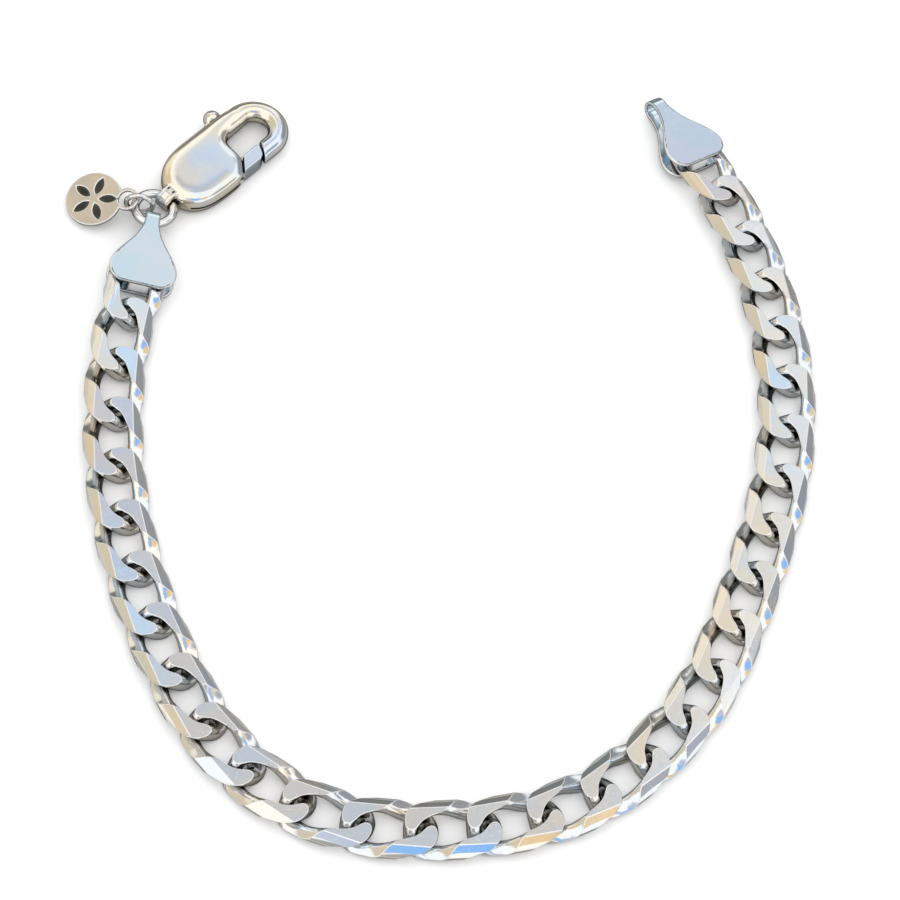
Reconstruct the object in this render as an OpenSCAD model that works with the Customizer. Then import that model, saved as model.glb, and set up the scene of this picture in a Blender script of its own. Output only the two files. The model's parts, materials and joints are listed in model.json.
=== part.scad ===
// Open link bracelet of flat curb chain, lying unclasped on a table. Millimetres, +Z up, +Y towards the clasp.

/* [Chain] */
// Distance between the middles of neighbouring links
link_pitch = 5.6; // [5.5:0.05:6.2]
// Width of the chain over its side edges
chain_width = 5.65; // [5.5:0.05:5.8]
// Thickness of the chain between its two ground faces
chain_thickness = 1.75; // [1.65:0.05:1.9]
// Width of a link's strand along each side, after grinding
strand_width = 1.42; // [1.3:0.02:1.46]
// Thickness of a link's wire where it crosses the next link
end_wire = 1.58; // [1.48:0.02:1.62]
// Height of a link's wire before grinding
wire_height = 1.56; // [1.4:0.02:1.6]
// Depth that grinding takes from each side of a link
side_grind = 0.5; // [0.3:0.05:0.6]
// Clear space between crossing wires
link_clearance = 0.22; // [0.2:0.01:0.3]
// How square the link's outer edge is, seen from above: 2 is an ellipse
outer_square = 2.5; // [2.2:0.1:2.8]
// How square the link's inner edge is
inner_square = 2.8; // [2.6:0.1:3]
// Steepest turn of a link's ends out of the chain's plane, in degrees
link_twist = 66; // [56:1:72]
// Height that the lift of a link's corners levels off at
corner_lift = 1.4; // [1.2:0.1:2]
// Width of the ground face between the two bevels
face_width = 3.3; // [3.1:0.05:3.5]
// Width of each ground bevel, seen from above
bevel_width = 0.75; // [0.6:0.05:0.85]
// Height that each ground bevel takes from the face
bevel_drop = 0.42; // [0.36:0.02:0.5]

/* [End caps] */
// Width of a cap over its shoulders
cap_width = 6.5; // [6.2:0.1:6.8]
// Distance from the cap's mouth to the middle of its fold
cap_reach = 7.9; // [7.6:0.1:8.4]
// Thickness of the cap's folded sheet
cap_sheet = 0.35; // [0.3:0.01:0.4]
// Clear space between the cap's two plates, and bore of its fold
cap_gap = 1.42; // [1.38:0.02:1.48]
// Thickness that the last link is pressed to inside its cap
pressed_link = 1.1; // [1:0.02:1.12]

/* [Rings and tag] */
// Wire of the big jump ring
jump_wire = 0.84; // [0.76:0.02:0.86]
// Diameter of the jump ring's wire circle
jump_circle = 3.7; // [3.6:0.05:3.8]
// Wire of the tag's ring
tag_wire = 0.46; // [0.4:0.02:0.5]
// Diameter of the tag ring's wire circle
tag_circle = 2.6; // [2.5:0.05:2.7]
// Diameter of the round tag
tag_diameter = 5.6; // [5.3:0.1:5.7]
// Thickness of the tag
tag_thickness = 0.4; // [0.3:0.02:0.44]
// Length of each cut-out petal
petal_length = 1.8; // [1.4:0.1:1.9]
// Width of each cut-out petal
petal_width = 0.78; // [0.5:0.02:0.84]

/* [Clasp] */
// Width of the clasp across its body
clasp_width = 6.8; // [6.6:0.1:7]
// Thickness of the clasp's body
clasp_thickness = 2.5; // [2.3:0.05:2.6]
// Thickness of the hook's round bar
hook_bar = 2; // [1.8:0.05:2]
// Height of the slot that the lever turns in
slot_height = 1; // [0.9:0.05:1.1]
// Clear space on each side of the lever's plate
lever_clearance = 0.12; // [0.1:0.01:0.16]
// Diameter of the pin
pin_diameter = 1; // [0.8:0.05:1.1]
// Diameter of the lever's ball-shaped thumb knob
knob_diameter = 1.64; // [1.4:0.02:1.66]

/* [Hidden] */
LINKS = 30;
FITTINGS = [
    "clasp_side_cap", "free_end_cap", "jump_ring", "tag_ring", "tag", "clasp_body", "clasp_lever", "clasp_pin"
];
$fn = 48;

// Stations round a link's oval and sides round its wire
link_sides = 16;
wire_sides = 6;

// Heading of the chain at some of its links, in degrees from +X, with the turn spread evenly between rows
//   link, heading
route = [
    [1, -105], [3, -92.5], [6, -77], [9, -62.5], [10, -51], [13, -4],
    [15, 12], [17, 38], [20, 66], [23, 73], [26, 93], [30, 118]
];
// Middle of the first link, with the whole bracelet's box centred on the origin
chain_start = [-29.35, 16.62];
// Roll of the chain's two ends, in degrees, turning their upper sides towards +X
rolls = [[1, 8], [5, 0], [26, 0], [30, 7]];
// Height of the chain's middle over its rest height, near the caps
lifts = [[1, 0.64], [2, 0.4], [3, 0.19], [4, 0.07], [5, 0], [26, 0], [27, 0.08], [28, 0.22], [29, 0.4], [30, 0.59]];
// Turn of each cap from its link, in degrees: clasp side, free end
cap_turns = [7, 4];
// Sideways shift of the clasp side cap's mouth from its link's middle
clasp_cap_shift = 0.35;
// Distance from the last link's middle to the free end cap's mouth
free_cap_shift = 0.9;

// Half length of a link's middle line, from the pitch and the two wires that cross at its end
link_reach = (link_pitch + end_wire + link_clearance) / 2;
cap_thickness = cap_gap + 2 * cap_sheet;
plate_thickness = slot_height - 2 * lever_clearance;
tag_eye = 1.17;
tag_hole = 0.84;
// Distance from the disc's middle to its eye's middle
tag_reach = tag_diameter / 2 + 0.5;

function link_name(i) = str("link_", i < 10 ? "0" : "", i);
function heading(i) = lookup(i, route);
function link_place(i) = i <= 1
    ? chain_start
    : let (a = (heading(i - 1) + heading(i)) / 2) link_place(i - 1) + link_pitch * [cos(a), sin(a)];
function rest_height(i) = chain_thickness / 2 + lookup(i, lifts);
function along(angle, distance) = distance * [cos(angle), sin(angle)];

// Places of the fittings, each from the one before: fold of the cap, jump ring, clasp and tag ring
cap_heading = heading(1) + 180 + cap_turns[0];
mouth_place = link_place(1) + along(cap_heading - 90, clasp_cap_shift);
fold_place = mouth_place + along(cap_heading, cap_reach);
jump_place = fold_place + along(cap_heading, jump_circle / 2 - 0.06);
jump_height = (rest_height(1) + clasp_thickness / 2) / 2;
// Tilt of the jump ring, down from the cap's fold to the clasp's eye
jump_tilt = asin((rest_height(1) - clasp_thickness / 2) / jump_circle);
clasp_heading = 45.6;
clasp_place = jump_place + along(clasp_heading, jump_circle / 2 - 0.9);
tag_heading = 172.5;
tag_ring_place = jump_place + along(tag_heading, jump_circle / 2 - 0.4);
tag_ring_height = jump_height + 0.4;
eye_place = tag_ring_place + along(tag_heading, tag_circle / 2 * cos(20));
eye_height = tag_ring_height + tag_circle / 2 * sin(20);

// A point of a flat oval at turn t, from its half width, half length and squareness
function share(v, power) = sign(v) * pow(abs(v), power);
function oval(t, w, l, square) = [w * share(cos(t), 2 / square), l * share(sin(t), 2 / square)];
// A point lifted out of the chain's plane, more and more towards the link's two ends, up to corner_lift
function twisted(p) = let (
    slope = sin(link_twist * p[1] / link_reach),
    soft = sqrt(1 + pow(p[0] * slope / corner_lift, 2)),
    tilt = atan(slope / pow(soft, 3)))
    [p[0] - p[2] * sin(tilt), p[1], p[0] * slope / soft + p[2] * cos(tilt)];
// A point of the link's surface at turn t round the oval and u round the wire, before grinding
function link_point(t, u) = let (
    outer = oval(t, chain_width / 2 + side_grind, link_reach + end_wire / 2, outer_square),
    inner = oval(t, chain_width / 2 - strand_width, link_reach - end_wire / 2, inner_square),
    p = (outer + inner) / 2 + (outer - inner) / 2 * cos(u))
    twisted([p[0], p[1], wire_height / 2 * sin(u)]);

// The chain's cross-section after grinding: two faces, four bevels and two narrow side lands
module ground_section() {
    x1 = face_width / 2;
    x2 = x1 + bevel_width;
    z1 = chain_thickness / 2;
    z2 = z1 - bevel_drop;
    x3 = chain_width / 2;
    polygon([
        [x1, z1], [x2, z2], [x3, z2 / 3], [x3, -z2 / 3], [x2, -z2], [x1, -z1],
        [-x1, -z1], [-x2, -z2], [-x3, -z2 / 3], [-x3, z2 / 3], [-x2, z2], [-x1, z1]
    ]);
}

// One curb link with its middle at the origin and its length along Y
module link_shape() {
    n = link_sides;
    m = wire_sides;
    points = [for (i = [0 : n - 1]) for (j = [0 : m - 1]) link_point(360 * i / n, 360 * j / m)];
    faces = [for (i = [0 : n - 1]) for (j = [0 : m - 1]) for (half = [0, 1])
        let (a = i * m + j, b = i * m + (j + 1) % m, c = (i + 1) % n * m + j, d = (i + 1) % n * m + (j + 1) % m)
        half == 0 ? [a, b, c] : [b, d, c]];
    intersection() {
        polyhedron(points, faces);
        rotate([90, 0, 0]) linear_extrude(4 * link_pitch, center = true) ground_section();
    }
}

// A last link, with its +Y end pressed thin to go between the cap's plates
module pressed_link_shape(mouth) {
    difference() {
        link_shape();
        for (side = [-1, 1])
            translate([-chain_width, mouth - 0.35, side > 0 ? pressed_link / 2 : -pressed_link / 2 - chain_thickness])
                cube([2 * chain_width, 2 * link_pitch, chain_thickness]);
    }
}

module link(i) {
    color("silver") translate([link_place(i)[0], link_place(i)[1], rest_height(i)])
        rotate(i <= LINKS / 2 ? heading(i) + 90 : heading(i) - 90) rotate([0, lookup(i, rolls), 0])
            if (i == 1) pressed_link_shape(0);
            else if (i == LINKS) pressed_link_shape(free_cap_shift);
            else link_shape();
}

// Outline of a cap's plate from its mouth at Y = 0 to the far side of its fold
module cap_outline() {
    w = cap_width / 2;
    side = [
        [0.48, 0], [0.71, 0.3], [0.88, 0.65], [0.97, 1.2], [1, 1.9], [0.95, 2.6], [0.83, 3.4],
        [0.66, 4.2], [0.49, 5], [0.35, 5.9], [0.26, 6.9], [0.22, cap_reach], [0.22, cap_reach + cap_thickness]
    ];
    polygon(concat([for (p = side) [p[0] * w, p[1]]], [for (k = [len(side) - 1 : -1 : 0]) [-side[k][0] * w, side[k][1]]]));
}

// The folded sheet seen from its side: two plates joined by a half ring
module cap_section() {
    difference() {
        union() {
            translate([-1, -cap_thickness / 2]) square([cap_reach + 1, cap_thickness]);
            translate([cap_reach, 0]) circle(d = cap_thickness);
        }
        translate([-2, -cap_gap / 2]) square([cap_reach + 2, cap_gap]);
        translate([cap_reach, 0]) circle(d = cap_gap);
    }
}

// A folded end cap with its mouth at the origin, and solder through the link's hole and in its neck
module cap() {
    intersection() {
        translate([0, 0, -cap_thickness]) linear_extrude(2 * cap_thickness) cap_outline();
        rotate([90, 0, 90]) linear_extrude(2 * cap_width, center = true) cap_section();
    }
    translate([-0.55, 0.35, -cap_thickness / 2 + 0.1]) cube([1.1, 1.25, cap_thickness - 0.2]);
    translate([-0.5, 4.9, -cap_thickness / 2 + 0.1]) cube([1, 1.5, cap_thickness - 0.2]);
}

module clasp_side_cap() {
    color("lightsteelblue") translate([mouth_place[0], mouth_place[1], rest_height(1)])
        rotate(cap_heading - 90) rotate([0, rolls[0][1], 0]) cap();
}

module free_end_cap() {
    color("lightsteelblue") translate([link_place(LINKS)[0], link_place(LINKS)[1], rest_height(LINKS)])
        rotate(heading(LINKS) + cap_turns[1] - 90) rotate([0, lookup(LINKS, rolls), 0])
            translate([0, free_cap_shift, 0]) cap();
}

module wire_ring(circle_diameter, wire) {
    rotate_extrude() translate([circle_diameter / 2, 0]) circle(d = wire);
}

module jump_ring() {
    color("silver") translate([jump_place[0], jump_place[1], jump_height])
        rotate(clasp_heading) rotate([0, jump_tilt, 0]) wire_ring(jump_circle, jump_wire);
}

module tag_ring() {
    color("gainsboro") translate([tag_ring_place[0], tag_ring_place[1], tag_ring_height])
        rotate([90, 0, tag_heading]) wire_ring(tag_circle, tag_wire);
}

// One cut-out petal, pointed at both ends, with its length along X
module petal() {
    r = (pow(petal_length / 2, 2) + pow(petal_width / 2, 2)) / petal_width;
    intersection() {
        translate([0, r - petal_width / 2, 0]) cylinder(h = 2, r = r, center = true);
        translate([0, petal_width / 2 - r, 0]) cylinder(h = 2, r = r, center = true);
    }
}

// The tag's eye is over its ring, and its disc leans down to the table at its far edge
module tag() {
    color("tan") translate([eye_place[0], eye_place[1], eye_height]) rotate(tag_heading) rotate([-12, 14, 0])
        difference() {
            union() {
                translate([tag_reach, 0, 0]) cylinder(h = tag_thickness, d = tag_diameter, center = true);
                cylinder(h = tag_thickness, r = tag_eye, center = true);
            }
            cylinder(h = 2 * tag_thickness, r = tag_hole, center = true);
            for (k = [0 : 4])
                translate([tag_reach, 0, 0]) rotate(36 + 72 * k) translate([petal_length / 2 + 0.5, 0, 0]) petal();
        }
}

// The pin's middle in the clasp's frame, where X runs from the jump ring's wire to the hook's bend
pin_at = [6.6, 0.2];
// The thumb knob's middle
knob_at = [10.9, clasp_width / 2 + 0.79];
knob_arm = knob_at - pin_at;
bend_at = clasp_width * 1.9;
bar_at = (clasp_width - hook_bar) / 2;

module clasp_frame() {
    translate([clasp_place[0], clasp_place[1], clasp_thickness / 2]) rotate(clasp_heading) children();
}

// Outline of the clasp's body, without its hook
module body_outline() {
    w = clasp_width / 2;
    polygon([
        [10.4, w], [5.3, w], [4.2, w - 0.15], [3.2, w - 0.55], [2.3, w - 1.2], [1.6, w - 2], [1.25, w - 2.8],
        [1.25, 2.8 - w], [1.6, 2 - w], [2.3, 1.2 - w], [3.2, 0.55 - w], [4.2, 0.15 - w], [5.3, -w], [7.85, -w],
        [9.4, 1.7 - w], [9.4, 0.9], [9.6, 1.35], [10.4, 1.5]
    ]);
}

// Room for the lever, open at the gate's side, at the hole and at the knob's side
module lever_slot() {
    polygon([
        [2.6, -1.6], [3.7, -4], [10.3, -4], [10.3, 0.5], [9, 0.5], [9.15, 1.45], [11.9, 3.2], [11.9, 4],
        [6.9, 4], [6.2, 2.4], [2.6, 1.8]
    ]);
}

module clasp_body() {
    color("silver") clasp_frame() difference() {
        union() {
            translate([0, 0, -clasp_thickness / 2]) linear_extrude(clasp_thickness) body_outline();
            translate([9, bar_at, 0]) rotate([0, 90, 0]) cylinder(h = bend_at - 9, d = hook_bar);
            translate([bend_at, 0, 0]) rotate(-90) rotate_extrude(angle = 180) translate([bar_at, 0]) circle(d = hook_bar);
            difference() {
                translate([10.4, -bar_at, 0]) rotate([0, 90, 0]) cylinder(h = bend_at - 10.4, d = hook_bar);
                translate([12.2, 1 - bar_at, 0]) rotate(-31) translate([-4, -4, -2]) cube([4, 8, 4]);
            }
            translate([0.9, 0, 0]) rotate([90, 0, 0]) cylinder(h = 1.5, r = 1.08, center = true);
            translate([0.9, -0.75, -1.08]) cube([1.4, 1.5, 2.16]);
        }
        for (x = [0.75, 0.9])
            translate([x, 0, 0]) rotate([90, 0, 0]) cylinder(h = 6, r = 0.68, center = true);
        translate([0, 0, -slot_height / 2]) linear_extrude(slot_height) lever_slot();
        translate([pin_at[0], pin_at[1], 0]) cylinder(h = slot_height + 0.8, d = pin_diameter + 0.12, center = true);
    }
}

module clasp_lever() {
    color("gainsboro") clasp_frame() difference() {
        union() {
            translate([pin_at[0], pin_at[1], 0]) cylinder(h = plate_thickness, r = 1.15, center = true);
            translate([0, 0, -plate_thickness / 2]) linear_extrude(plate_thickness)
                polygon([[5.8, -0.6], [7.6, -3], [8.6, -3.1], [9.8, -3], [9.8, -1.8], [7.6, 0.7]]);
            translate([0, 0, -0.95]) linear_extrude(1.9) polygon([
                [8.28, -3.2], [9.56, -1.76], [11.3, -1.68], [11.6, -1.95], [11.42, -2.4], [11.1, -2.95], [10.6, -3.2]
            ]);
            translate([pin_at[0], pin_at[1], -plate_thickness / 2]) rotate(atan2(knob_arm[1], knob_arm[0]))
                translate([0, -0.5, 0]) cube([norm(knob_arm) - 0.3, 1, plate_thickness]);
            translate([knob_at[0], knob_at[1], 0]) sphere(d = knob_diameter);
        }
        translate([pin_at[0], pin_at[1], 0]) cylinder(h = 3, d = pin_diameter + 0.12, center = true);
    }
}

module clasp_pin() {
    color("darkgray") clasp_frame() translate([pin_at[0], pin_at[1], 0])
        cylinder(h = slot_height + 0.68, d = pin_diameter, center = true);
}

for (i = [1 : LINKS])
    link(i);
clasp_side_cap();
free_end_cap();
jump_ring();
tag_ring();
tag();
clasp_body();
clasp_lever();
clasp_pin();
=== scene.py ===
import json
import math
import random

import bpy
from mathutils import Matrix, Vector

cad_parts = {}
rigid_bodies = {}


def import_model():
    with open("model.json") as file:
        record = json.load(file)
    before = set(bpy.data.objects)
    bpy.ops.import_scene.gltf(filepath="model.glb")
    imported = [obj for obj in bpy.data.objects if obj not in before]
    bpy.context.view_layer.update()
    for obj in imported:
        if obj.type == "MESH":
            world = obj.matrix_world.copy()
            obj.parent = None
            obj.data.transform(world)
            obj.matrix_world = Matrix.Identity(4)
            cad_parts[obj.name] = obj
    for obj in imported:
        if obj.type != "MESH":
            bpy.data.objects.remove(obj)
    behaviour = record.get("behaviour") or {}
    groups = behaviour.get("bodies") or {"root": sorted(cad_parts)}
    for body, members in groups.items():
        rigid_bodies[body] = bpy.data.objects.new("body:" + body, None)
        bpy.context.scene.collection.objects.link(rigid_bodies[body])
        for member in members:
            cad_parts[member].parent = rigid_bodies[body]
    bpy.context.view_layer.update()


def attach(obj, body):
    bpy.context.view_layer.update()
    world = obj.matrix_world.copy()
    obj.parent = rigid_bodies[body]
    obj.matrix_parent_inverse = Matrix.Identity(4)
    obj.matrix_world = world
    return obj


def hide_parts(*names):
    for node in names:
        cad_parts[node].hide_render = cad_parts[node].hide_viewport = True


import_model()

# Camera
# The photograph looks down on the table from in front at 58 degrees, with the picture turned by 12 degrees.
# A long lens from 0.31 m keeps the bracelet's loop almost free of perspective.
PICTURE_PIXELS = 900
LENS_PIXELS = 3333
PIXEL_SIZE = 0.0941e-3
lean = math.radians(32)
turn = math.radians(12)
ground_right = Vector((math.cos(turn), -math.sin(turn), 0))
ground_away = Vector((math.sin(turn), math.cos(turn), 0))
picture_up = ground_away * math.cos(lean) + Vector((0, 0, math.sin(lean)))
to_camera = Vector((0, 0, math.cos(lean))) - ground_away * math.sin(lean)
camera_right = ground_right * math.cos(turn) + picture_up * math.sin(turn)
camera_up = picture_up * math.cos(turn) - ground_right * math.sin(turn)
target = Vector((0.0005, 0.00007, 0.00085))
bpy.ops.object.camera_add()
camera = bpy.context.object
camera.name = "photo_camera"
camera_turn = Matrix((camera_right, camera_up, to_camera)).transposed().to_4x4()
camera.matrix_world = Matrix.Translation(target + to_camera * LENS_PIXELS * PIXEL_SIZE) @ camera_turn
camera.data.lens = camera.data.sensor_width * LENS_PIXELS / PICTURE_PIXELS
camera.data.clip_start = 0.01
bpy.context.scene.camera = camera

# Table and studio
# A plain white table under a wide soft tent. Polished silver shows what is round it, so the tent has pale
# blue panels behind, warm ones on the left, and dark ones low at the back, on the right and in front.
TABLE_SIZE = 3
TABLE_DROP = 0.00002
WHITE_PAPER = (0.93, 0.93, 0.93, 1)
MIRRORED_TABLE = (0.4, 0.39, 0.37, 1)
bpy.context.scene.view_settings.view_transform = "Standard"
bpy.ops.object.select_all(action="DESELECT")
bpy.ops.mesh.primitive_plane_add(size=TABLE_SIZE, location=(0, 0, -TABLE_DROP))
table = bpy.context.object
table.name = "table_top"
paper = bpy.data.materials.new("white_table")
paper.use_nodes = True
paper_nodes, paper_links = paper.node_tree.nodes, paper.node_tree.links
paper_nodes["Principled BSDF"].inputs["Roughness"].default_value = 0.9
paper_nodes["Principled BSDF"].inputs["Specular IOR Level"].default_value = 0.1
# The silver was photographed on something darker than the white it is shown on, so it mirrors a dark table.
paper_tone = paper_nodes.new("ShaderNodeMix")
paper_tone.data_type = "RGBA"
paper_tone.inputs[6].default_value = WHITE_PAPER
paper_tone.inputs[7].default_value = MIRRORED_TABLE
paper_links.new(paper_nodes.new("ShaderNodeLightPath").outputs["Is Glossy Ray"], paper_tone.inputs[0])
paper_links.new(paper_tone.outputs[2], paper_nodes["Principled BSDF"].inputs["Base Color"])
table.data.materials.append(paper)

tent = bpy.data.worlds.new("studio_tent")
tent.use_nodes = True
bpy.context.scene.world = tent
tent_nodes, tent_links = tent.node_tree.nodes, tent.node_tree.links
tent_nodes.clear()


def tent_math(operation, first, second=None, third=None):
    node = tent_nodes.new("ShaderNodeMath")
    node.operation = operation
    for socket, value in zip(node.inputs, (first, second, third)):
        if isinstance(value, (int, float)):
            socket.default_value = value
        elif value is not None:
            tent_links.new(value, socket)
    return node.outputs["Value"]


def tent_mix(factor, first, second):
    node = tent_nodes.new("ShaderNodeMix")
    node.data_type = "RGBA"
    for socket, value in ((node.inputs[0], factor), (node.inputs[6], first), (node.inputs[7], second)):
        if isinstance(value, tuple):
            socket.default_value = (*value, 1)
        else:
            tent_links.new(value, socket)
    return node.outputs[2]


# The tent's colours sway a little, so that no panel is mirrored as a perfect circle.
SWAY = 0.22
direction = tent_nodes.new("ShaderNodeTexCoord").outputs["Generated"]
ripple = tent_nodes.new("ShaderNodeTexNoise")
ripple.inputs["Scale"].default_value = 9
ripple.inputs["Detail"].default_value = 2
tent_links.new(direction, ripple.inputs["Vector"])
sway = tent_nodes.new("ShaderNodeVectorMath")
sway.operation = "MULTIPLY_ADD"
sway.inputs[1].default_value = (SWAY, SWAY, SWAY)
tent_links.new(ripple.outputs["Color"], sway.inputs[0])
tent_links.new(direction, sway.inputs[2])
centred = tent_nodes.new("ShaderNodeVectorMath")
centred.operation = "SUBTRACT"
centred.inputs[1].default_value = (SWAY / 2, SWAY / 2, SWAY / 2)
tent_links.new(sway.outputs[0], centred.inputs[0])
facing = tent_nodes.new("ShaderNodeVectorMath")
facing.operation = "NORMALIZE"
tent_links.new(centred.outputs[0], facing.inputs[0])
split = tent_nodes.new("ShaderNodeSeparateXYZ")
tent_links.new(facing.outputs[0], split.inputs[0])
# The tent is dark at the table's level and white from about 13 degrees up.
height_share = tent_math("MULTIPLY", tent_math("ADD", split.outputs["Z"], 0.02), 4)
height_share.node.use_clamp = True
tent_colour = tent_mix(height_share, (0.16, 0.16, 0.16), (1.02, 1.02, 1.0))
# azimuth from +X, elevation, radius, softness (degrees), colour
PANELS = [
    (100, 4, 26, 14, (0.20, 0.20, 0.19)),
    (35, 14, 27, 12, (0.30, 0.31, 0.33)),
    (150, 34, 27, 10, (0.68, 0.58, 0.42)),
    (124, 26, 12, 8, (0.88, 0.80, 0.66)),
    (80, 58, 13, 7, (0.74, 0.77, 0.82)),
    (86, 61, 5, 4, (0.58, 0.82, 1.05)),
    (78, 58, 4, 4, (0.54, 0.58, 0.70)),
    (92, 58, 4, 4, (0.50, 0.53, 0.62)),
    (77, 64, 5, 4, (0.56, 0.57, 0.59)),
    (68, 59, 4, 3, (0.78, 0.68, 0.54)),
    (70, 54, 3, 3, (0.60, 0.80, 1.00)),
    (66, 49, 5, 4, (0.80, 0.78, 0.74)),
    (64, 41, 4, 3, (0.56, 0.57, 0.66)),
    (-95, 55, 15, 6, (0.54, 0.56, 0.68)),
    (-74, 56, 12, 4, (0.26, 0.52, 0.95)),
    (-45, 50, 10, 6, (0.84, 0.60, 0.30)),
    (-15, 38, 12, 8, (0.42, 0.42, 0.46)),
    (-105, 15, 22, 10, (0.38, 0.36, 0.33)),
    (180, 3, 14, 8, (0.34, 0.31, 0.27)),
]
for azimuth, elevation, radius, softness, colour in PANELS:
    around = math.radians(azimuth)
    upward = math.radians(elevation)
    likeness = tent_nodes.new("ShaderNodeVectorMath")
    likeness.operation = "DOT_PRODUCT"
    likeness.inputs[1].default_value = (
        math.cos(around) * math.cos(upward), math.sin(around) * math.cos(upward), math.sin(upward))
    tent_links.new(facing.outputs[0], likeness.inputs[0])
    share = tent_nodes.new("ShaderNodeMapRange")
    share.interpolation_type = "SMOOTHSTEP"
    share.inputs["From Min"].default_value = math.cos(math.radians(radius + softness / 2))
    share.inputs["From Max"].default_value = math.cos(math.radians(max(radius - softness / 2, 0)))
    tent_links.new(likeness.outputs["Value"], share.inputs["Value"])
    tent_colour = tent_mix(share.outputs["Result"], tent_colour, colour)
# The table itself is lit by plain white light, and only the silver sees the panels.
PLAIN_LIGHT = (1.35, 1.35, 1.35)
ray = tent_nodes.new("ShaderNodeLightPath")
tent_colour = tent_mix(ray.outputs["Is Glossy Ray"], PLAIN_LIGHT, tent_colour)
glow = tent_nodes.new("ShaderNodeBackground")
tent_links.new(tent_colour, glow.inputs["Color"])
tent_links.new(glow.outputs[0], tent_nodes.new("ShaderNodeOutputWorld").inputs["Surface"])

# Curb links
# Thirty links of drawn silver wire, each bent to an oval, twisted, and linked through its neighbours. The
# finished chain was then ground flat on both faces and bevelled along both sides, which leaves the flat
# drop-shaped facets.
MM = 0.001
LINK_COUNT = 30
LINK_PITCH = 5.6
CHAIN_WIDTH = 5.65
CHAIN_THICKNESS = 1.75
# The wire: its width along each side, its thickness at the ends and its height, with a section that is a
# little squarer than an ellipse, whose power is 1
STRAND_WIDTH = 1.45
END_WIRE = 1.34
WIRE_HEIGHT = 1.56
WIRE_SQUARE = 0.88
# The oval: half its length, from the room that two crossing wires need, and the squareness of its outer and
# inner edges, where 2 is an ellipse
CROSSING_WIRE = 1.58
LINK_CLEARANCE = 0.22
LINK_REACH = (LINK_PITCH + CROSSING_WIRE + LINK_CLEARANCE) / 2
OUTER_SQUARE = 2.2
INNER_SQUARE = 2.1
# The twist: its steepest turn, and the height that the corners' lift levels off at
LINK_TWIST = math.radians(66)
CORNER_LIFT = 1.4
# The grinding: depth off each side, then the level face and the two bevels
SIDE_GRIND = 0.5
FACE_WIDTH = 3.7
BEVEL_WIDTH = 0.62
BEVEL_DROP = 0.37
# Half the thickness that the end links are pressed to between their cap's plates
PRESSED_HALF = 0.55
# Middle of the first link
CHAIN_START = Vector((-29.35, 16.62))
# link, heading in degrees
ROUTE = [
    (1, -105), (3, -92.5), (6, -77), (9, -62.5), (10, -51), (13, -4),
    (15, 12), (17, 38), (20, 66), (23, 73), (26, 93), (30, 118),
]
# link, roll in degrees
ROLLS = [(1, 8), (5, 0), (26, 0), (30, 7)]
# link, lift in millimetres
LIFTS = [
    (1, 0.64), (2, 0.4), (3, 0.19), (4, 0.07), (5, 0),
    (26, 0), (27, 0.08), (28, 0.22), (29, 0.4), (30, 0.59),
]


def lookup(i, rows):
    """Value at link i, on straight lines between the rows."""
    for (i0, v0), (i1, v1) in zip(rows, rows[1:]):
        if i <= i1:
            return v0 + (v1 - v0) * max(0, i - i0) / (i1 - i0)
    return rows[-1][1]


def along(degrees, distance):
    """Step over the table at a heading from +X."""
    return Vector((math.cos(math.radians(degrees)), math.sin(math.radians(degrees)))) * distance


link_places = [CHAIN_START]
for i in range(2, LINK_COUNT + 1):
    link_places.append(link_places[-1] + along((lookup(i - 1, ROUTE) + lookup(i, ROUTE)) / 2, LINK_PITCH))


def rest_height(i):
    """Height of link i's middle over the table."""
    return CHAIN_THICKNESS / 2 + lookup(i, LIFTS)


def placed(flat, height, heading, roll=0.0, pitch=0.0):
    """Matrix from a piece's own millimetre frame to its place on the table, in metres."""
    turned = Matrix.Rotation(math.radians(heading), 4, "Z") @ Matrix.Rotation(math.radians(roll), 4, "Y")
    turned = turned @ Matrix.Rotation(math.radians(pitch), 4, "X")
    return Matrix.Translation(Vector((flat.x, flat.y, height)) * MM) @ turned @ Matrix.Scale(MM, 4)


def signed_power(value, power):
    """The value's size to a power, with the value's sign."""
    return math.copysign(abs(value) ** power, value)


def link_point(t, u):
    """Surface point of the twisted oval at turn t round the oval and u round its wire."""
    outer = Vector((CHAIN_WIDTH / 2 + SIDE_GRIND, LINK_REACH + END_WIRE / 2))
    inner = Vector((CHAIN_WIDTH / 2 - STRAND_WIDTH, LINK_REACH - END_WIRE / 2))
    outer.x *= signed_power(math.cos(t), 2 / OUTER_SQUARE)
    outer.y *= signed_power(math.sin(t), 2 / OUTER_SQUARE)
    inner.x *= signed_power(math.cos(t), 2 / INNER_SQUARE)
    inner.y *= signed_power(math.sin(t), 2 / INNER_SQUARE)
    p = (outer + inner) / 2 + (outer - inner) / 2 * signed_power(math.cos(u), WIRE_SQUARE)
    z = WIRE_HEIGHT / 2 * signed_power(math.sin(u), WIRE_SQUARE)
    slope = math.sin(LINK_TWIST * p.y / LINK_REACH)
    soft = math.sqrt(1 + (p.x * slope / CORNER_LIFT) ** 2)
    tilt = math.atan(slope / soft ** 3)
    return Vector((p.x - z * math.sin(tilt), p.y, p.x * slope / soft + z * math.cos(tilt)))


def grind(piece, point, normal):
    """Cuts away what lies past a plane and closes the cut with a flat face."""
    bpy.context.view_layer.objects.active = piece
    bpy.ops.object.mode_set(mode="EDIT")
    bpy.ops.mesh.select_all(action="SELECT")
    bpy.ops.mesh.bisect(plane_co=point, plane_no=normal, use_fill=True, clear_outer=True, threshold=1e-5)
    bpy.ops.object.mode_set(mode="OBJECT")


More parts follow.
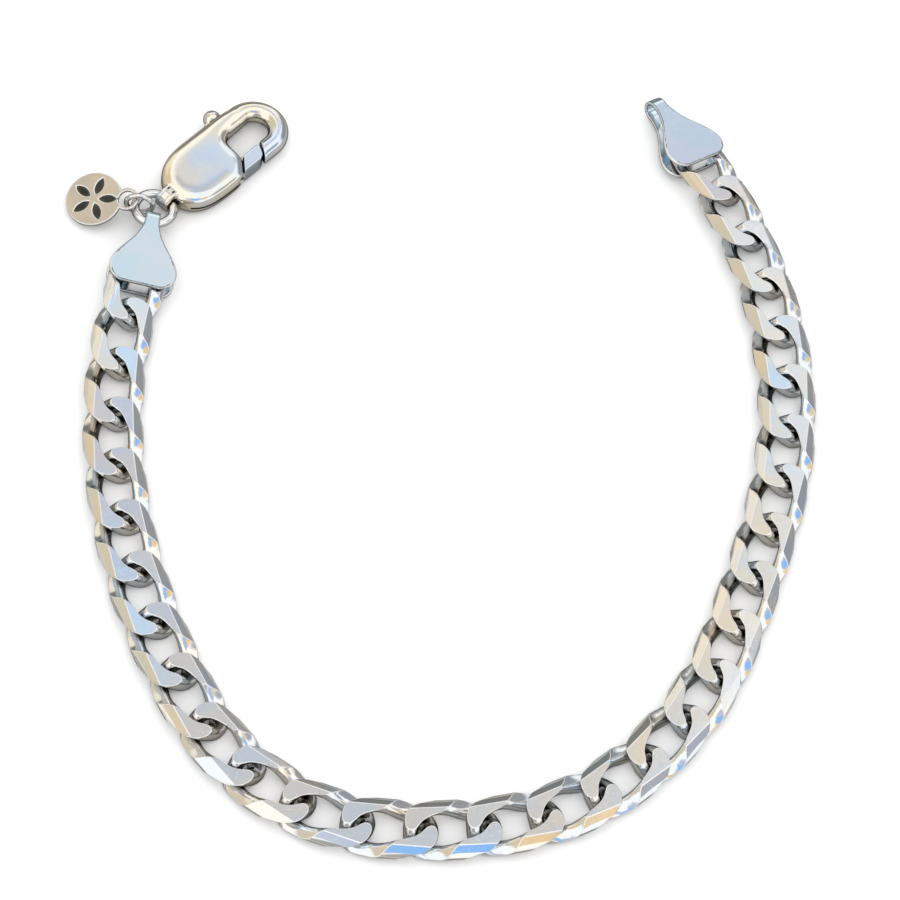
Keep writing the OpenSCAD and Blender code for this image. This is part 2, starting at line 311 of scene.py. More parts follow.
def soften(piece, width, segments=2, angle=24, rim=-1):
    """Rounds the crisp edges, as polishing leaves them, and keeps the flat faces flat in the shading."""
    bpy.context.view_layer.objects.active = piece
    bevel = piece.modifiers.new("polished_edges", "BEVEL")
    bevel.width = width
    bevel.segments = segments
    bevel.limit_method = "ANGLE"
    bevel.angle_limit = math.radians(angle)
    bevel.use_clamp_overlap = False
    bevel.material = rim
    bpy.ops.object.modifier_apply(modifier=bevel.name)
    piece.data.shade_smooth()
    weigh = piece.modifiers.new("flat_faces", "WEIGHTED_NORMAL")
    weigh.weight = 90
    weigh.keep_sharp = True
    bpy.ops.object.modifier_apply(modifier=weigh.name)


# One link is the pattern for all: a torus whose points move on to the twisted oval, ground on every side.
bpy.ops.object.select_all(action="DESELECT")
bpy.ops.mesh.primitive_torus_add(major_segments=80, minor_segments=24, major_radius=2, minor_radius=0.5)
link_pattern = bpy.context.object
link_pattern.name = "link_pattern"
for vertex in link_pattern.data.vertices:
    x, y, z = vertex.co
    vertex.co = link_point(math.atan2(y, x), math.atan2(z, math.hypot(x, y) - 2))
half_face = FACE_WIDTH / 2
half_bevel = half_face + BEVEL_WIDTH
high = CHAIN_THICKNESS / 2
low = high - BEVEL_DROP
for side in (-1, 1):
    for up in (-1, 1):
        grind(link_pattern, (side * half_face, 0, up * high), (side * BEVEL_DROP, 0, up * BEVEL_WIDTH))
        grind(link_pattern, (side * half_bevel, 0, up * low),
              (side * low * 2 / 3, 0, up * (CHAIN_WIDTH / 2 - half_bevel)))
    grind(link_pattern, (0, 0, side * high), (0, 0, side))
    grind(link_pattern, (side * CHAIN_WIDTH / 2, 0, 0), (side, 0, 0))
# The cuts leave slivers, which would stop the edges from being rounded.
bpy.ops.object.mode_set(mode="EDIT")
bpy.ops.mesh.select_all(action="SELECT")
bpy.ops.mesh.remove_doubles(threshold=0.06)
bpy.ops.object.mode_set(mode="OBJECT")


def wear_and_reflection_group():
    """Fine polishing scratches, tiny dents and a slow painted reflection tint, from Object coordinates in
    metres.
    """
    group = bpy.data.node_groups.new("silver_wear_and_reflection", "ShaderNodeTree")
    group.interface.new_socket(name="Seed", in_out="INPUT", socket_type="NodeSocketFloat")
    for name in ("Scratches", "Dents", "Tone_and_Reflection", "Waves"):
        group.interface.new_socket(name=name, in_out="OUTPUT", socket_type="NodeSocketFloat")
    nodes, links = group.nodes, group.links
    given, result = nodes.new("NodeGroupInput"), nodes.new("NodeGroupOutput")
    place = nodes.new("ShaderNodeTexCoord").outputs["Object"]

    def streaks(angle, width, stretch):
        """Long thin marks at one angle, with their width in metres."""
        turned = nodes.new("ShaderNodeMapping")
        turned.inputs["Rotation"].default_value = (0.3, 0.2, math.radians(angle))
        turned.inputs["Scale"].default_value = (stretch / width, 1 / width, 1 / width)
        links.new(place, turned.inputs["Vector"])
        noise = nodes.new("ShaderNodeTexNoise")
        noise.noise_dimensions = "4D"
        noise.inputs["Detail"].default_value = 2
        noise.inputs["Scale"].default_value = 1
        links.new(turned.outputs[0], noise.inputs["Vector"])
        links.new(given.outputs["Seed"], noise.inputs["W"])
        line = nodes.new("ShaderNodeMapRange")
        line.inputs["From Min"].default_value = 0.66
        line.inputs["From Max"].default_value = 0.8
        links.new(noise.outputs["Fac"], line.inputs["Value"])
        return line.outputs["Result"]

    both = nodes.new("ShaderNodeMath")
    both.operation = "MAXIMUM"
    links.new(streaks(28, 0.00009, 0.06), both.inputs[0])
    links.new(streaks(-64, 0.00012, 0.08), both.inputs[1])
    links.new(both.outputs[0], result.inputs["Scratches"])
    # A dent is the small middle of a cell, one about every 0.55 mm.
    cells = nodes.new("ShaderNodeTexVoronoi")
    cells.inputs["Scale"].default_value = 1 / 0.00055
    links.new(place, cells.inputs["Vector"])
    dent = nodes.new("ShaderNodeMapRange")
    dent.inputs["From Min"].default_value = 0.12
    dent.inputs["From Max"].default_value = 0.05
    links.new(cells.outputs["Distance"], dent.inputs["Value"])
    links.new(dent.outputs["Result"], result.inputs["Dents"])
    # The slow cool to warm change is painted reflection, and the waves are what hand polishing leaves in a
    # flat face.
    slow = nodes.new("ShaderNodeTexNoise")
    slow.inputs["Scale"].default_value = 1 / 0.0045
    slow.inputs["Detail"].default_value = 1
    links.new(place, slow.inputs["Vector"])
    tone_and_reflection = nodes.new("ShaderNodeMapRange")
    tone_and_reflection.interpolation_type = "SMOOTHSTEP"
    tone_and_reflection.inputs["From Min"].default_value = 0.38
    tone_and_reflection.inputs["From Max"].default_value = 0.62
    links.new(slow.outputs["Fac"], tone_and_reflection.inputs["Value"])
    links.new(tone_and_reflection.outputs["Result"], result.inputs["Tone_and_Reflection"])
    waves = nodes.new("ShaderNodeTexNoise")
    waves.noise_dimensions = "4D"
    waves.inputs["Scale"].default_value = 1 / 0.0011
    waves.inputs["Detail"].default_value = 1.5
    links.new(place, waves.inputs["Vector"])
    links.new(given.outputs["Seed"], waves.inputs["W"])
    links.new(waves.outputs["Fac"], result.inputs["Waves"])
    return group


silver_wear_and_reflection = wear_and_reflection_group()


def silver(name, cool, warm, roughness, scratch=0.3, dents=0.12, crevice_shade=(0.38, 0.37, 0.35), reach=0.0006,
           seed=0.0, wave=0.3):
    """Polished sterling silver, worn smooth: cool and warm tints that paint reflection, and painted shade
    where pieces meet.
    """
    material = bpy.data.materials.new(name)
    material.use_nodes = True
    nodes, links = material.node_tree.nodes, material.node_tree.links
    shader = nodes["Principled BSDF"]
    shader.inputs["Metallic"].default_value = 1.0
    shader.inputs["Specular Tint"].default_value = (0.05, 0.05, 0.05, 1)
    wear_and_reflection = nodes.new("ShaderNodeGroup")
    wear_and_reflection.node_tree = silver_wear_and_reflection
    wear_and_reflection.inputs["Seed"].default_value = seed
    tone_and_reflection = nodes.new("ShaderNodeMix")
    tone_and_reflection.data_type = "RGBA"
    tone_and_reflection.inputs[6].default_value = (*cool, 1)
    tone_and_reflection.inputs[7].default_value = (*warm, 1)
    links.new(wear_and_reflection.outputs["Tone_and_Reflection"], tone_and_reflection.inputs[0])
    # Painted shade: where other metal is near, the base colour darkens towards the crevice colour, standing
    # in for the shade between the pieces.
    hollow = nodes.new("ShaderNodeAmbientOcclusion")
    hollow.samples = 6
    hollow.inputs["Distance"].default_value = reach
    depth = nodes.new("ShaderNodeMapRange")
    depth.inputs["From Min"].default_value = 0.25
    depth.inputs["From Max"].default_value = 0.75
    links.new(hollow.outputs["AO"], depth.inputs["Value"])
    shade = nodes.new("ShaderNodeMix")
    shade.data_type = "RGBA"
    shade.inputs[6].default_value = (*crevice_shade, 1)
    links.new(depth.outputs["Result"], shade.inputs[0])
    links.new(tone_and_reflection.outputs[2], shade.inputs[7])
    links.new(shade.outputs[2], shader.inputs["Base Color"])
    # A scratch is rougher than the face round it.
    rough = nodes.new("ShaderNodeMath")
    rough.operation = "MULTIPLY_ADD"
    rough.inputs[1].default_value = scratch * 0.3
    rough.inputs[2].default_value = roughness
    links.new(wear_and_reflection.outputs["Scratches"], rough.inputs[0])
    links.new(rough.outputs[0], shader.inputs["Roughness"])
    # Waves, dents and scratches add up to one height, in shares of the bump's 0.03 mm.
    height = None
    for mark, weight in (("Waves", wave), ("Dents", -dents), ("Scratches", -scratch * 0.2)):
        relief = nodes.new("ShaderNodeMath")
        relief.operation = "MULTIPLY_ADD"
        relief.inputs[1].default_value = weight
        relief.inputs[2].default_value = 0.0
        links.new(wear_and_reflection.outputs[mark], relief.inputs[0])
        if height:
            links.new(height, relief.inputs[2])
        height = relief.outputs[0]
    bump = nodes.new("ShaderNodeBump")
    bump.inputs["Distance"].default_value = 0.00003
    links.new(height, bump.inputs["Height"])
    links.new(bump.outputs["Normal"], shader.inputs["Normal"])
    return material


# Painted reflection: the links' cool blue and warm tints stand in for the blue and warm light mirrored in
# their faces.
link_silver = silver("link_silver", cool=(0.9, 0.95, 1.0), warm=(1.0, 0.96, 0.9), roughness=0.1)
# The rounded edges are rubbed to a satin white, which shows as a bright rim round every face.
rim_silver = silver("rim_silver", cool=(1.0, 1.0, 1.0), warm=(1.0, 0.99, 0.96), roughness=0.36, scratch=0.05,
                    dents=0.02, crevice_shade=(0.4, 0.4, 0.4), reach=0.0002)
link_pattern.data.materials.append(link_silver)
link_pattern.data.materials.append(rim_silver)
soften(link_pattern, 0.06, rim=1)
# Each link lies a little differently, and the first and last are pressed flat inside their caps.
# MOUTHS has the distance from such a link's middle to its cap's mouth.
MOUTHS = {1: 0.0, LINK_COUNT: 0.9}
PRESS_LENGTH = 0.6
MOST_ROLL = 1
MOST_PITCH = 0.5
sway_of_links = random.Random(11)
for i in range(1, LINK_COUNT + 1):
    piece = link_pattern.copy()
    piece.data = link_pattern.data.copy()
    bpy.context.scene.collection.objects.link(piece)
    piece.name = "curb_link_%02d" % i
    if i in MOUTHS:
        for vertex in piece.data.vertices:
            share = min(1, max(0, (vertex.co.y - MOUTHS[i] + PRESS_LENGTH) / PRESS_LENGTH))
            pressed = min(PRESSED_HALF, max(-PRESSED_HALF, vertex.co.z))
            vertex.co.z += (pressed - vertex.co.z) * share
    heading = lookup(i, ROUTE) + (90 if i <= LINK_COUNT / 2 else -90)
    roll = lookup(i, ROLLS) + sway_of_links.uniform(-MOST_ROLL, MOST_ROLL)
    pitch = sway_of_links.uniform(-MOST_PITCH, MOST_PITCH)
    piece.data.transform(placed(link_places[i - 1], rest_height(i), heading, roll, pitch))
    lowest = min(vertex.co.z for vertex in piece.data.vertices)
    piece.data.transform(Matrix.Translation((0, 0, max(0, -lowest))))
    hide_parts("link_%02d" % i)
    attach(piece, "bracelet")
bpy.data.objects.remove(link_pattern)

# Folded end caps
# Each cap is a bell-shaped sheet of silver folded over into two plates, with the chain's last link
# soldered between them. Its narrow fold makes a loop: the jump ring hangs in one, and the clasp's hook
# closes on the other.
CAP_HALF_WIDTH = 3.25
CAP_REACH = 7.9
CAP_SHEET = 0.35
CAP_GAP = 1.42
# distance from the mouth, share of the half width
CAP_SIDE = [
    (0, 0.56), (0.12, 0.7), (0.5, 0.9), (1.1, 0.99), (1.9, 1.02), (2.7, 0.95),
    (3.5, 0.81), (4.3, 0.64), (5.1, 0.47), (5.9, 0.34), (6.8, 0.25), (7.5, 0.22),
]
NECK_SHARE = 0.22
# Solder between the plates: near end, far end and half width, from the mouth
SOLDER = [(0.2, 1.0, 1.0), (4.9, 6.4, 0.5)]
# The turn of each cap from its link, the clasp side cap's step to the side and the free cap's step outward
CLASP_CAP_TURN = 7
CLASP_CAP_SHIFT = 0.35
FREE_CAP_TURN = 4
FREE_CAP_SHIFT = 0.9
# Subdivision draws the fold's curve in to this share of its corners' distance.
SPLINE_PULL = 0.955


def folded_cap(name):
    """One cap with its mouth at the origin and its fold towards +Y, from a strip that runs round the fold."""
    fold = (CAP_GAP + CAP_SHEET) / 2
    strip = [(y, fold, w) for y, w in CAP_SIDE]
    for degrees in range(90, -91, -30):
        bend = math.radians(degrees)
        corner = fold / SPLINE_PULL
        strip.append((CAP_REACH + corner * math.cos(bend), corner * math.sin(bend), NECK_SHARE))
    strip += [(y, -fold, w) for y, w in reversed(CAP_SIDE)]
    across = [-1, -0.8, -0.4, 0, 0.4, 0.8, 1]
    bpy.ops.object.select_all(action="DESELECT")
    bpy.ops.mesh.primitive_grid_add(x_subdivisions=len(across) - 1, y_subdivisions=len(strip) - 1, size=2)
    cap = bpy.context.object
    cap.name = name
    for vertex in cap.data.vertices:
        column = round((vertex.co.x + 1) / 2 * (len(across) - 1))
        row = round((vertex.co.y + 1) / 2 * (len(strip) - 1))
        y, z, w = strip[row]
        vertex.co = Vector((across[column] * w * CAP_HALF_WIDTH, y, z))
    smooth = cap.modifiers.new("smooth_sheet", "SUBSURF")
    smooth.levels = smooth.render_levels = 2
    bpy.ops.object.modifier_apply(modifier=smooth.name)
    wall = cap.modifiers.new("sheet", "SOLIDIFY")
    wall.thickness = CAP_SHEET
    wall.offset = 0
    bpy.ops.object.modifier_apply(modifier=wall.name)
    cap.data.materials.append(cap_silver)
    cap.data.materials.append(rim_silver)
    soften(cap, 0.14, 3, 40, rim=1)
    for near, far, half_width in SOLDER:
        bpy.ops.object.select_all(action="DESELECT")
        bpy.ops.mesh.primitive_cube_add(size=2, location=(0, (near + far) / 2, 0),
                                        scale=(half_width, (far - near) / 2, fold))
        bpy.ops.object.transform_apply(location=True, rotation=False, scale=True)
        solder = bpy.context.object
        soften(solder, 0.25, 3, 40)
        cap.select_set(True)
        bpy.context.view_layer.objects.active = cap
        bpy.ops.object.join()
    return cap


cap_heading = lookup(1, ROUTE) + 180 + CLASP_CAP_TURN
mouth_place = link_places[0] + along(cap_heading - 90, CLASP_CAP_SHIFT)
fold_place = mouth_place + along(cap_heading, CAP_REACH)
# Painted reflection: the cap's pale blue tints stand in for the pale blue light mirrored in its plates.
cap_silver = silver("cap_silver", cool=(0.76, 0.91, 1.0), warm=(0.83, 0.91, 1.0), roughness=0.14, scratch=0.2,
                    dents=0.1, seed=3.0, wave=0.2)
clasp_cap = folded_cap("clasp_side_end_cap")
clasp_cap.data.transform(placed(mouth_place, rest_height(1), cap_heading - 90, lookup(1, ROLLS)))
free_cap = folded_cap("free_side_end_cap")
free_heading = lookup(LINK_COUNT, ROUTE) + FREE_CAP_TURN - 90
free_roll = lookup(LINK_COUNT, ROLLS)
free_cap.data.transform(Matrix.Translation((0, FREE_CAP_SHIFT, 0)))
free_cap.data.transform(placed(link_places[-1], rest_height(LINK_COUNT), free_heading, free_roll))
for cap, node in ((clasp_cap, "clasp_side_cap"), (free_cap, "free_end_cap")):
    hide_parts(node)
    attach(cap, "bracelet")

# Jump ring
# A ring of round silver wire, bent and closed with solder. It joins the cap's fold to the clasp's eye and
# carries the tag's ring, and leans down from the fold to the eye.
JUMP_CIRCLE = 3.7
JUMP_WIRE = 0.86
CLASP_HEADING = 45.6
CLASP_THICKNESS = 2.5
RING_PLAY = 0.06
jump_place = fold_place + along(cap_heading, JUMP_CIRCLE / 2 - RING_PLAY)
jump_height = (rest_height(1) + CLASP_THICKNESS / 2) / 2
jump_tilt = math.degrees(math.asin((rest_height(1) - CLASP_THICKNESS / 2) / JUMP_CIRCLE))
# The seam's waist: depth as a share of the wire, and reach round the ring
WAIST_DEPTH = 0.05
WAIST_DEGREES = 7


def wire_ring(name, circle, wire, seam):
    """A closed wire ring with the faint waist that soldering and filing leave at its seam."""
    bpy.ops.object.select_all(action="DESELECT")
    bpy.ops.mesh.primitive_torus_add(major_segments=96, minor_segments=28, major_radius=circle / 2,
                                     minor_radius=wire / 2)
    ring = bpy.context.object
    ring.name = name
    for vertex in ring.data.vertices:
        x, y, z = vertex.co
        away = (math.degrees(math.atan2(y, x)) - seam + 180) % 360 - 180
        waist = 1 - WAIST_DEPTH * math.exp(-(away / WAIST_DEGREES) ** 2)
        centre = Vector((x, y, 0)).normalized() * circle / 2
        vertex.co = centre + (vertex.co - centre) * waist
    ring.data.shade_smooth()
    return ring


ring_silver = silver("ring_silver", cool=(0.95, 0.95, 0.96), warm=(0.98, 0.95, 0.88), roughness=0.08,
                     seed=5.0)
jump_ring = wire_ring("big_jump_ring", JUMP_CIRCLE, JUMP_WIRE, 250)
jump_ring.data.transform(placed(jump_place, jump_height, CLASP_HEADING, jump_tilt))
jump_ring.data.materials.append(ring_silver)
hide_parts("jump_ring")
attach(jump_ring, "bracelet")

# Tag ring
# A ring of thin silver wire, bent and soldered like the jump ring. It stands on edge over the jump ring
# and holds the round tag.
TAG_CIRCLE = 2.6
TAG_WIRE = 0.5
TAG_HEADING = 172.5
TAG_RING_STEP = 0.4
tag_ring_place = jump_place + along(TAG_HEADING, JUMP_CIRCLE / 2 - TAG_RING_STEP)
tag_ring_height = jump_height + TAG_RING_STEP
tag_ring = wire_ring("thin_tag_ring", TAG_CIRCLE, TAG_WIRE, 60)
upright = Matrix.Rotation(math.radians(90), 4, "X")
tag_ring.data.transform(placed(tag_ring_place, tag_ring_height, TAG_HEADING) @ upright)
tag_ring.data.materials.append(ring_silver)
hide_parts("tag_ring")
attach(tag_ring, "bracelet")

# Round tag
# A small disc cut from satin silver sheet with its own eye and five petal-shaped cut-outs, leaning from
# its ring down to the table. Its edges are polished, and a blackened plate soldered behind the cut-outs
# makes them dark.
TAG_DIAMETER = 5.6
TAG_EYE_STEP = 0.5
TAG_ROLL = 14
TAG_PITCH = -12
EYE_CLIMB = math.radians(20)


def from_cad(node, name):
    """A copy of a node's mesh in millimetres with its loose triangles joined up."""
    source = next(o for o in bpy.data.objects if o.type == "MESH" and o.name == node)
    piece = source.copy()
    piece.data = source.data.copy()
    bpy.context.scene.collection.objects.link(piece)
    piece.name = name
    piece.data.transform(Matrix.Scale(1 / MM, 4))
    bpy.ops.object.select_all(action="DESELECT")
    piece.select_set(True)
    bpy.context.view_layer.objects.active = piece
    bpy.ops.object.mode_set(mode="EDIT")
    bpy.ops.mesh.select_all(action="SELECT")
    bpy.ops.mesh.remove_doubles(threshold=0.002)
    bpy.ops.object.mode_set(mode="OBJECT")
    return piece


# The tag's second and third materials, by place in its list
TAG_RIM = 1
TAG_DARK = 2
tag_silver = silver("tag_silver", cool=(0.66, 0.62, 0.55), warm=(0.74, 0.67, 0.58), roughness=0.3,
                    scratch=0.4, dents=0.1, seed=8.0)
tag_black = silver("tag_black", cool=(0.035, 0.045, 0.04), warm=(0.06, 0.06, 0.05), roughness=0.45,
                   scratch=0.2, dents=0.3, seed=9.0)
tag = from_cad("tag", "round_tag")
tag.data.materials.clear()
for material in (tag_silver, rim_silver, tag_black):
    tag.data.materials.append(material)
eye_place = tag_ring_place + along(TAG_HEADING, TAG_CIRCLE / 2 * math.cos(EYE_CLIMB))
eye_height = tag_ring_height + TAG_CIRCLE / 2 * math.sin(EYE_CLIMB)
tag_matrix = placed(eye_place, eye_height, TAG_HEADING, TAG_ROLL, TAG_PITCH)
tag_matrix = tag_matrix @ Matrix.Translation((TAG_DIAMETER / 2 + TAG_EYE_STEP, 0, 0))
tag.data.transform(tag_matrix.inverted() @ Matrix.Scale(MM, 4))
# The walls of the cut-outs are blackened, and the disc's outer wall isn't.
for face in tag.data.polygons:
    if abs(face.normal.z) < 0.5 and face.center.xy.length < TAG_DIAMETER / 2 - 0.3:
        face.material_index = TAG_DARK
soften(tag, 0.11, 2, 40, rim=TAG_RIM)
bpy.ops.object.select_all(action="DESELECT")
bpy.ops.mesh.primitive_cylinder_add(vertices=72, radius=TAG_DIAMETER / 2 - 0.35, depth=0.14,
                                    location=(0, 0, -0.1))
bpy.ops.object.transform_apply(location=True, rotation=False, scale=False)
backing = bpy.context.object
for material in (tag_silver, rim_silver, tag_black):
    backing.data.materials.append(material)
for face in backing.data.polygons:
    face.material_index = TAG_DARK
soften(backing, 0.03, 2, 40, rim=TAG_DARK)
tag.select_set(True)
bpy.context.view_layer.objects.active = tag
bpy.ops.object.join()
tag.data.transform(tag_matrix)
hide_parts("tag")
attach(tag, "bracelet")

# Clasp body
# The clasp's body is cast silver in one piece: a hollow pill with soft edges, a round hook that grows out
# of its upper side, and a small barrel-shaped eye for the jump ring. The lever's slot, the knob's seat
# and the pin's hole are cut afterwards.
CLASP_WIDTH = 6.8
HOOK_BAR = 2.0
SLOT_HEIGHT = 1.0
PIN_DIAMETER = 1.0
half = CLASP_WIDTH / 2
# Places in the clasp's own frame, where X runs from the jump ring's wire to the hook's bend and Y towards
# the knob
PIN_AT = Vector((6.6, 0.2))
EYE_AT = 0.9
EYE_HALF_WIDTH = 0.75
BEND_AT = CLASP_WIDTH * 1.9
BAR_AT = (CLASP_WIDTH - HOOK_BAR) / 2
# The hook's bar is a little thicker than the solid's, because smoothing shrinks it.
BAR_RADIUS = HOOK_BAR / 2 + 0.02
KNOB_AT = Vector((10.9, half + 0.45, 0))
KNOB_RADIUS = 0.9
# Outline of the case, from the hook's root round the eye's end to the hook's opening
BODY_OUTLINE = [
    (13.4, half - 0.3), (11.2, half), (5.3, half), (4.2, half - 0.15), (3.2, half - 0.55),
    (2.3, half - 1.2), (1.6, half - 2), (1.25, half - 2.8), (1.2, 2.8 - half), (1.35, 1.9 - half),
    (1.95, 1 - half), (2.9, 0.35 - half), (4.1, 0.05 - half), (5.3, -half), (7.85, -half),
    (9.4, 1.7 - half), (9.4, 0.6), (9.8, 1.1), (11.6, 1.4), (13.4, 1.7),
]
# Outline of the lever's slot, open at the gate and at the knob
SLOT_OUTLINE = [
    (6.9, -2.2), (7.7, -4), (10.3, -4), (10.3, 0.5), (9, 0.5), (9.15, 1.45),
    (11.9, 3.2), (11.9, 4), (6.9, 4), (6.2, 2.4), (5.3, 1.8), (5.3, -1.3),
]
# The slot goes on as a fine line round the case's side.
LINE_HALF_HEIGHT = 0.12
LINE_OUTLINE = [
    (8.2, -5), (8.2, 0.3 - half), (5.3, 0.3 - half), (4.2, 0.45 - half),
    (3.2, 0.85 - half), (2.3, 1.5 - half), (1, 0.5 - half), (2, -5),
]
clasp_place = jump_place + along(CLASP_HEADING, JUMP_CIRCLE / 2 - EYE_AT)
clasp_matrix = placed(clasp_place, CLASP_THICKNESS / 2, CLASP_HEADING)


def plate(name, outline, bottom, top):
    """A flat plate with the given outline, extruded from a filled ring of as many corners."""
    bpy.ops.object.select_all(action="DESELECT")
    bpy.ops.mesh.primitive_circle_add(vertices=len(outline), radius=1, fill_type="NGON")
    piece = bpy.context.object
    piece.name = name
    for vertex, (x, y) in zip(piece.data.vertices, outline):
        vertex.co = (x, y, bottom)
    bpy.ops.object.mode_set(mode="EDIT")
    bpy.ops.mesh.select_all(action="SELECT")
    bpy.ops.mesh.extrude_region_move(TRANSFORM_OT_translate={"value": (0, 0, top - bottom)})
    bpy.ops.mesh.select_all(action="SELECT")
    bpy.ops.mesh.normals_make_consistent(inside=False)
    bpy.ops.object.mode_set(mode="OBJECT")
    return piece


def rod(start, end, radius, sides=48):
    """A plain round bar from start to end."""
    start, end = Vector(start), Vector(end)
    bpy.ops.object.select_all(action="DESELECT")
    bpy.ops.mesh.primitive_cylinder_add(vertices=sides, radius=radius, depth=(end - start).length,
                                        location=(start + end) / 2,
                                        rotation=(end - start).to_track_quat("Z", "Y").to_euler())
    bpy.ops.object.transform_apply(location=True, rotation=True, scale=True)
    return bpy.context.object


def fused(name, pieces, voxel, rounds):
    """Joins overlapping pieces into one cast body and rounds it as tumbling and polishing do."""
    bpy.ops.object.select_all(action="DESELECT")
    for piece in pieces:
        piece.select_set(True)
    bpy.context.view_layer.objects.active = pieces[0]
    if len(pieces) > 1:
        bpy.ops.object.join()
    body = bpy.context.object
    body.name = name
    cast = body.modifiers.new("cast", "REMESH")
    cast.mode = "VOXEL"
    cast.voxel_size = voxel
    bpy.ops.object.modifier_apply(modifier=cast.name)
    polish = body.modifiers.new("polish", "SMOOTH")
    polish.factor = 0.5
    polish.iterations = rounds
    bpy.ops.object.modifier_apply(modifier=polish.name)
    return body


def cut(piece, cutter):
    """Takes the cutter's shape out of the piece."""
    bpy.context.view_layer.objects.active = piece
    saw = piece.modifiers.new("cut", "BOOLEAN")
    saw.operation = "DIFFERENCE"
    saw.solver = "EXACT"
    saw.object = cutter
    bpy.ops.object.modifier_apply(modifier=saw.name)
    bpy.data.objects.remove(cutter)


# The case is rounded by many rounds of smoothing, which shrink it, and then stretched to its size again.
CASE_MIDDLE = 6
body_plate = plate("body_plate", BODY_OUTLINE, -CLASP_THICKNESS / 2, CLASP_THICKNESS / 2)
case = fused("case", [body_plate], 0.1, 520)
for vertex in case.data.vertices:
    vertex.co.x = (vertex.co.x - CASE_MIDDLE) * 1.05 + CASE_MIDDLE
    vertex.co.y = vertex.co.y * 1.055 - 0.05
# The hook: half a ring for the bend, a bar on each side, and a cone where it grows out of the case. Its
# tip is cut at a slant, where the gate meets it.
bpy.ops.object.select_all(action="DESELECT")
bpy.ops.mesh.primitive_torus_add(major_segments=96, minor_segments=48, major_radius=BAR_AT,
                                 minor_radius=BAR_RADIUS, location=(BEND_AT, 0, 0))
bpy.ops.object.transform_apply(location=True, rotation=False, scale=False)
bend = bpy.context.object
grind(bend, (BEND_AT - 0.02, 0, 0), (-1, 0, 0))
spine = rod((8.2, BAR_AT, 0), (BEND_AT, BAR_AT, 0), BAR_RADIUS)
tip = rod((10.4, -BAR_AT, 0), (BEND_AT, -BAR_AT, 0), BAR_RADIUS)
slant = math.radians(-31)
grind(tip, (12.2, 1 - BAR_AT, 0), (-math.cos(slant), -math.sin(slant), 0))
bpy.ops.object.select_all(action="DESELECT")
bpy.ops.mesh.primitive_cone_add(vertices=48, radius1=1.2, radius2=BAR_RADIUS, depth=4,
                                location=(11.5, BAR_AT - 0.12, 0), rotation=(0, math.radians(90), 0))
bpy.ops.object.transform_apply(location=True, rotation=True, scale=False)
root = bpy.context.object
barrel = rod((EYE_AT, -EYE_HALF_WIDTH, 0), (EYE_AT, EYE_HALF_WIDTH, 0), 1.1)
neck_outline = [
    (EYE_AT, -EYE_HALF_WIDTH), (2.6, -EYE_HALF_WIDTH), (2.6, EYE_HALF_WIDTH), (EYE_AT, EYE_HALF_WIDTH),
]
neck = plate("neck", neck_outline, -1.08, 1.08)
clasp_body = fused("clasp_case_and_hook", [case, spine, root, bend, tip, barrel, neck], 0.07, 30)
# Two fine grooves run round the eye, and its bore takes the jump ring.
for y in (-0.33, 0.33):
    bpy.ops.object.select_all(action="DESELECT")
    bpy.ops.mesh.primitive_torus_add(major_segments=48, minor_segments=12, major_radius=1.13,
                                     minor_radius=0.1, location=(EYE_AT, y, 0),
                                     rotation=(math.radians(90), 0, 0))
    bpy.ops.object.transform_apply(location=True, rotation=True, scale=False)
    cut(clasp_body, bpy.context.object)
cut(clasp_body, rod((0.82, -3, 0), (0.82, 3, 0), 0.7))
cut(clasp_body, plate("slot", SLOT_OUTLINE, -SLOT_HEIGHT / 2, SLOT_HEIGHT / 2))
cut(clasp_body, plate("line", LINE_OUTLINE, -LINE_HALF_HEIGHT, LINE_HALF_HEIGHT))
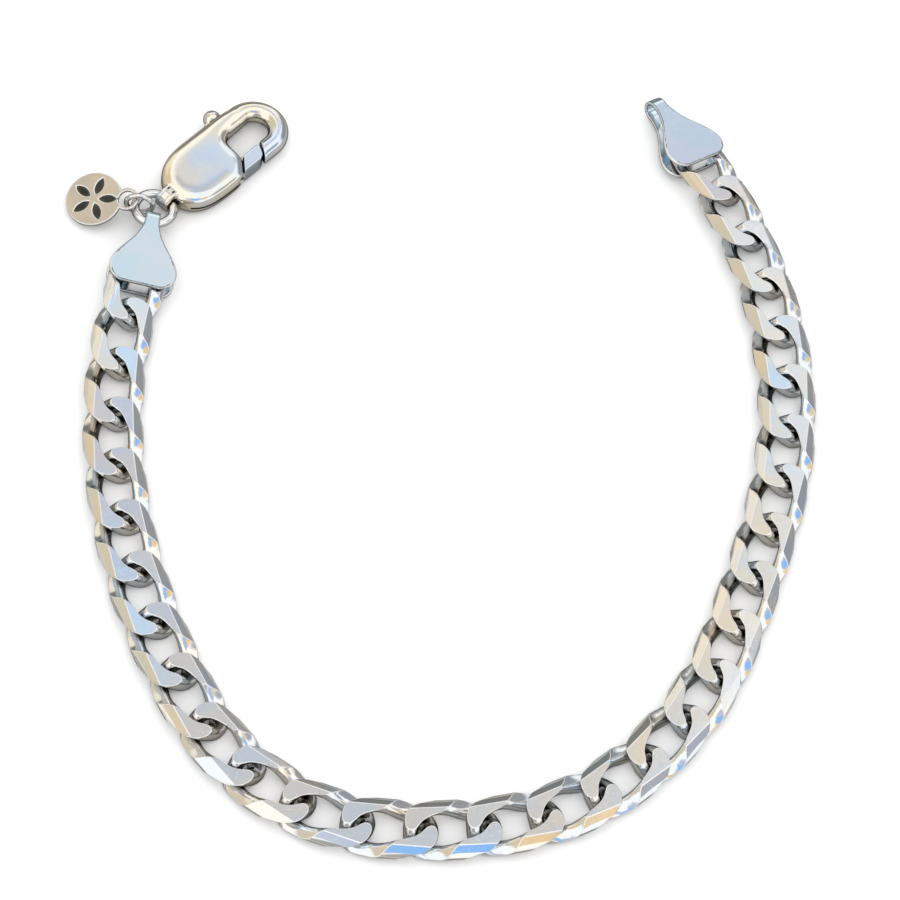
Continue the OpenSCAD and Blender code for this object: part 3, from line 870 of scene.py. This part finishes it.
# The seat leaves 0.1 mm round the knob, and the hole 0.06 mm round the pin.
bpy.ops.object.select_all(action="DESELECT")
bpy.ops.mesh.primitive_uv_sphere_add(segments=48, ring_count=24, radius=KNOB_RADIUS + 0.1, location=KNOB_AT)
bpy.ops.object.transform_apply(location=True, rotation=False, scale=False)
cut(clasp_body, bpy.context.object)
pin_half = SLOT_HEIGHT / 2 + 0.4
pin_hole = rod((PIN_AT.x, PIN_AT.y, -pin_half), (PIN_AT.x, PIN_AT.y, pin_half), PIN_DIAMETER / 2 + 0.06)
cut(clasp_body, pin_hole)
# Painted reflection: the clasp's blue and warm tints stand in for the blue and warm light mirrored in it.
clasp_silver = silver("clasp_silver", cool=(0.8, 0.89, 1.0), warm=(1.0, 0.93, 0.8), roughness=0.1,
                      scratch=0.3, dents=0.15, seed=13.0, wave=0.4)
clasp_body.data.transform(clasp_matrix)
clasp_body.data.materials.clear()
clasp_body.data.materials.append(clasp_silver)
bpy.ops.object.select_all(action="DESELECT")
clasp_body.select_set(True)
bpy.context.view_layer.objects.active = clasp_body
bpy.ops.object.shade_smooth_by_angle(angle=math.radians(40))
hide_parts("clasp_body")
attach(clasp_body, "bracelet")

# Clasp lever
# The lever is one cast piece of silver: a plate that turns on the pin inside the slot, with a thick gate
# that closes the hook at one end and a round thumb knob at the other. The solid's knob is cut off for one
# that sits closer.
knob_cut = clasp_matrix @ Vector((KNOB_AT.x, half + 0.4, 0)) / MM
knob_side = clasp_matrix.to_3x3() @ Vector((0, 1 / MM, 0))
lever = from_cad("clasp_lever", "lever_with_gate_and_knob")
grind(lever, knob_cut, knob_side)
bpy.ops.object.select_all(action="DESELECT")
bpy.ops.mesh.primitive_uv_sphere_add(segments=32, ring_count=16, radius=KNOB_RADIUS,
                                     location=clasp_matrix @ KNOB_AT / MM)
bpy.ops.object.transform_apply(location=True, rotation=False, scale=False)
lever.select_set(True)
bpy.context.view_layer.objects.active = lever
bpy.ops.object.join()
forge = lever.modifiers.new("cast", "REMESH")
forge.mode = "VOXEL"
forge.voxel_size = 0.05
bpy.context.view_layer.objects.active = lever
bpy.ops.object.modifier_apply(modifier=forge.name)
rub = lever.modifiers.new("polish", "SMOOTH")
rub.factor = 0.5
rub.iterations = 50
bpy.ops.object.modifier_apply(modifier=rub.name)
lever.data.shade_smooth()
lever.data.transform(Matrix.Scale(MM, 4))
lever.data.materials.clear()
lever.data.materials.append(clasp_silver)
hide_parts("clasp_lever")
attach(lever, "lever")

# Clasp pin
# The rivet that the lever turns on, a short length of silver wire. It is pressed in blind from inside the
# case, so that it hardly shows.
pin = from_cad("clasp_pin", "lever_rivet")
soften(pin, 0.05, 2, 40)
pin.data.transform(Matrix.Scale(MM, 4))
pin.data.materials.clear()
pin.data.materials.append(clasp_silver)
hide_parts("clasp_pin")
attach(pin, "bracelet")
